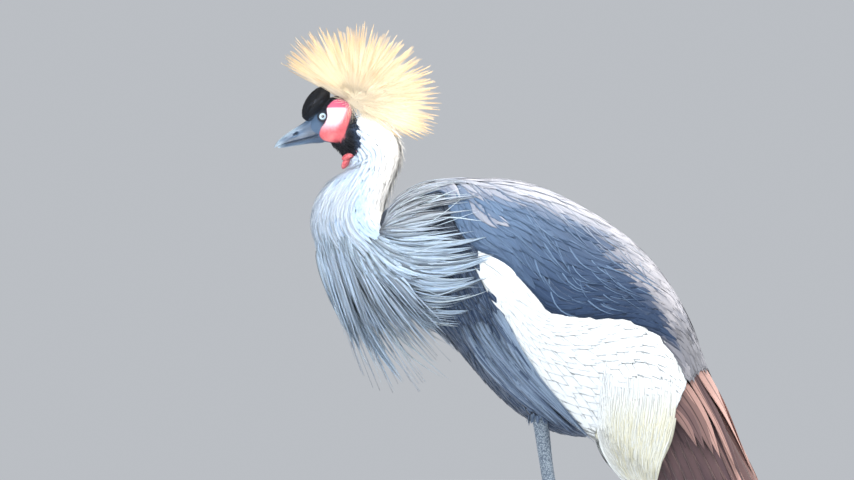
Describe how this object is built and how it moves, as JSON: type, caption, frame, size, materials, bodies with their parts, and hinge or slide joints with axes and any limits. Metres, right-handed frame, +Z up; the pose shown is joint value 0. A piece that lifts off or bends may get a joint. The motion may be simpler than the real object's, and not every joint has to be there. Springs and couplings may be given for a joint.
{
  "type": "grey crowned crane",
  "caption": "Life-size still model of a grey crowned crane standing with its neck drawn in, with a golden bristle crest, white wing panel and chestnut quills.",
  "frame": {"origin": "middle of the bottom of the bird's box, on the floor", "axes": "+Z up; the bird faces -X; its left side is -Y"},
  "size_m": [0.7346, 0.2494, 0.9414],
  "materials": {
    "slate_feather": "matt overlapping feathers with pale shafts",
    "pale_feather": "matt pale blue-grey feathers",
    "white_feather": "matt white feathers",
    "straw_feather": "hair-like straw-coloured plumes",
    "chestnut_feather": "matt chestnut quills",
    "black_feather": "matt black quills",
    "crest_bristle": "stiff satin golden bristles",
    "black_velvet": "velvety black plumage with bare white and red cheeks",
    "red_skin": "bare soft satin skin",
    "bill_horn": "satin dark horn",
    "eye": "wet gloss",
    "leg_scale": "matt scaly skin",
    "claw_horn": "satin dark horn"
  },
  "bodies": {
    "root": {"torso": "slate_feather", "scapulars_left": "slate_feather", "scapulars_right": "slate_feather", "thigh_left": "slate_feather", "thigh_right": "slate_feather", "neck_upper": "pale_feather", "neck_lower": "pale_feather", "wing_left_coverts": "white_feather", "wing_right_coverts": "white_feather", "wing_left_plumes": "straw_feather", "wing_right_plumes": "straw_feather", "wing_left_secondaries": "chestnut_feather", "wing_right_secondaries": "chestnut_feather", "wing_left_primaries": "black_feather", "wing_right_primaries": "black_feather", "tail": "black_feather", "crest": "crest_bristle", "head": "black_velvet", "wattle": "red_skin", "bill_upper": "bill_horn", "bill_lower": "bill_horn", "eye_left": "eye", "eye_right": "eye", "tibia_left": "leg_scale", "tibia_right": "leg_scale", "tarsus_left": "leg_scale", "tarsus_right": "leg_scale", "foot_left": "leg_scale", "foot_right": "leg_scale", "claw_left_middle": "claw_horn", "claw_right_middle": "claw_horn", "claw_left_inner": "claw_horn", "claw_right_inner": "claw_horn", "claw_left_outer": "claw_horn", "claw_right_outer": "claw_horn", "claw_left_hind": "claw_horn", "claw_right_hind": "claw_horn"}
  },
  "joints": []
}
